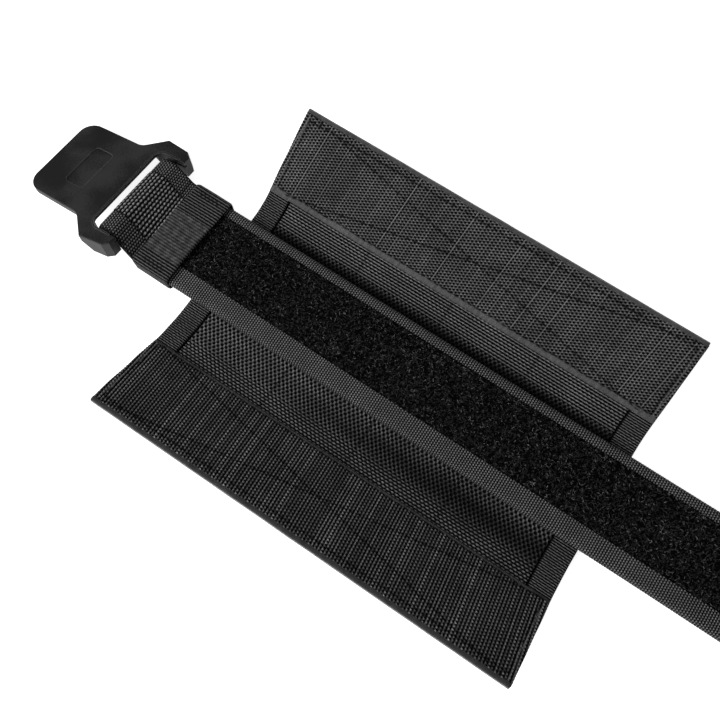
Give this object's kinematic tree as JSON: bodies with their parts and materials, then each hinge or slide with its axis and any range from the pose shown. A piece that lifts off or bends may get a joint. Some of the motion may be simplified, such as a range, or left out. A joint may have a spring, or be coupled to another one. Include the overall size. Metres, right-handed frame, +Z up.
{
  "type": "compression strap with hook flap wrap",
  "caption": "Flat loop-faced compression strap with a T-shaped pull tab, a keeper band and a sliding wrap whose two hook flaps fold closed over the strap.",
  "frame": {"origin": "centre of the webbing-row field on the underside of the wrap, in the plane the object rests on", "axes": "+X along the strap away from the pull tab, +Y to the far side of the wrap, +Z up out of the loop face"},
  "size_m": [0.5471, 0.1384, 0.027],
  "materials": {
    "pull_tab_polymer": "fine moulded grain",
    "loop_pile": "brushed loop pile",
    "hook_tape": "moulded hooks on woven tape",
    "stiffener_sheet": "plain extruded sheet",
    "binding_tape": "fine ribbed weave",
    "keeper_elastic": "ribbed elastic webbing",
    "thread": "bonded thread",
    "nylon_webbing": "heavy plain weave",
    "strap_webbing": "heavy plain weave",
    "ballistic_cloth": "coarse basket weave"
  },
  "bodies": {
    "strap_front": {"strap_front_backing": "strap_webbing", "strap_front_core": "strap_webbing", "strap_front_far_binding": "binding_tape", "strap_front_loop_tape": "loop_pile", "strap_front_near_binding": "binding_tape", "buckle_loop_webbing": "nylon_webbing"},
    "pull_tab": {"pull_tab": "pull_tab_polymer"},
    "keeper": {"keeper_band": "keeper_elastic", "keeper_join_patch": "keeper_elastic"},
    "wrap_centre": {"wrap_centre_lining": "ballistic_cloth", "wrap_centre_ply": "ballistic_cloth", "wrap_centre_row_tacks": "thread", "wrap_centre_stiffener": "stiffener_sheet", "wrap_centre_webbing_rows": "nylon_webbing"},
    "far_wall": {"far_wall_lining": "ballistic_cloth", "far_wall_ply": "ballistic_cloth", "far_wall_webbing_row": "nylon_webbing"},
    "far_flap": {"far_flap_edge": "ballistic_cloth", "far_flap_hook_tape": "hook_tape", "far_flap_lining": "ballistic_cloth", "far_flap_ply": "ballistic_cloth", "far_flap_stiffener": "stiffener_sheet", "far_flap_webbing_row": "nylon_webbing"},
    "near_wall": {"near_wall_lining": "ballistic_cloth", "near_wall_ply": "ballistic_cloth", "near_wall_webbing_row": "nylon_webbing"},
    "near_flap": {"near_flap_edge": "ballistic_cloth", "near_flap_hook_tape": "hook_tape", "near_flap_lining": "ballistic_cloth", "near_flap_ply": "ballistic_cloth", "near_flap_stiffener": "stiffener_sheet", "near_flap_webbing_row": "nylon_webbing"},
    "tail_1": {"tail_1_backing": "strap_webbing", "tail_1_bindings": "binding_tape", "tail_1_core": "strap_webbing", "tail_1_loop_tape": "loop_pile"},
    "tail_2": {"tail_2_backing": "strap_webbing", "tail_2_bindings": "binding_tape", "tail_2_core": "strap_webbing", "tail_2_loop_tape": "loop_pile"},
    "tail_3": {"tail_3_backing": "strap_webbing", "tail_3_bindings": "binding_tape", "tail_3_core": "strap_webbing", "tail_3_loop_tape": "loop_pile", "tail_end_binding": "binding_tape", "tail_hook_patch": "hook_tape"}
  },
  "joints": [
    {"name": "pull_tab_tilt", "type": "hinge", "parent": "strap_front", "child": "pull_tab", "pos_m": [-0.12603, 0.00514, 0.00952], "axis": [-0.0029, 0.9903, -0.139], "range_deg": [-35, 75]},
    {"name": "keeper_slide", "type": "slide", "parent": "strap_front", "child": "keeper", "axis": [1, 0, 0], "range_m": [0, 0.004]},
    {"name": "wrap_slide", "type": "slide", "parent": "strap_front", "child": "wrap_centre", "axis": [1, 0, 0], "range_m": [-0.004, 0.028]},
    {"name": "far_wall_fold", "type": "hinge", "parent": "wrap_centre", "child": "far_wall", "pos_m": [0, 0.0268, 0.0029], "axis": [1, 0, 0], "range_deg": [-15.9, 74.1]},
    {"name": "far_flap_fold", "type": "hinge", "parent": "far_wall", "child": "far_flap", "pos_m": [0, 0.03363, 0.00485], "axis": [1, 0, 0], "range_deg": [-15.9, 74.1]},
    {"name": "near_wall_fold", "type": "hinge", "parent": "wrap_centre", "child": "near_wall", "pos_m": [0, -0.0242, 0.0029], "axis": [-1, 0, 0], "range_deg": [-12.2, 77.8]},
    {"name": "near_flap_fold", "type": "hinge", "parent": "near_wall", "child": "near_flap", "pos_m": [0, -0.03593, 0.00544], "axis": [-1, 0, 0], "range_deg": [-12.2, 77.8]},
    {"name": "tail_bend_1", "type": "hinge", "parent": "strap_front", "child": "tail_1", "pos_m": [0.124, 0.00275, 0.00545], "axis": [0, -1, 0], "range_deg": [-30, 60]},
    {"name": "tail_bend_2", "type": "hinge", "parent": "tail_1", "child": "tail_2", "pos_m": [0.20894, 0.00275, 0.00225], "axis": [0, -1, 0], "range_deg": [-30, 60]},
    {"name": "tail_bend_3", "type": "hinge", "parent": "tail_2", "child": "tail_3", "pos_m": [0.29394, 0.00275, 0.00225], "axis": [0, -1, 0], "range_deg": [-30, 60]}
  ],
  "couplings": [
    {"joint": "far_flap_fold", "follows": "far_wall_fold", "ratio": 1},
    {"joint": "near_flap_fold", "follows": "near_wall_fold", "ratio": 1}
  ]
}
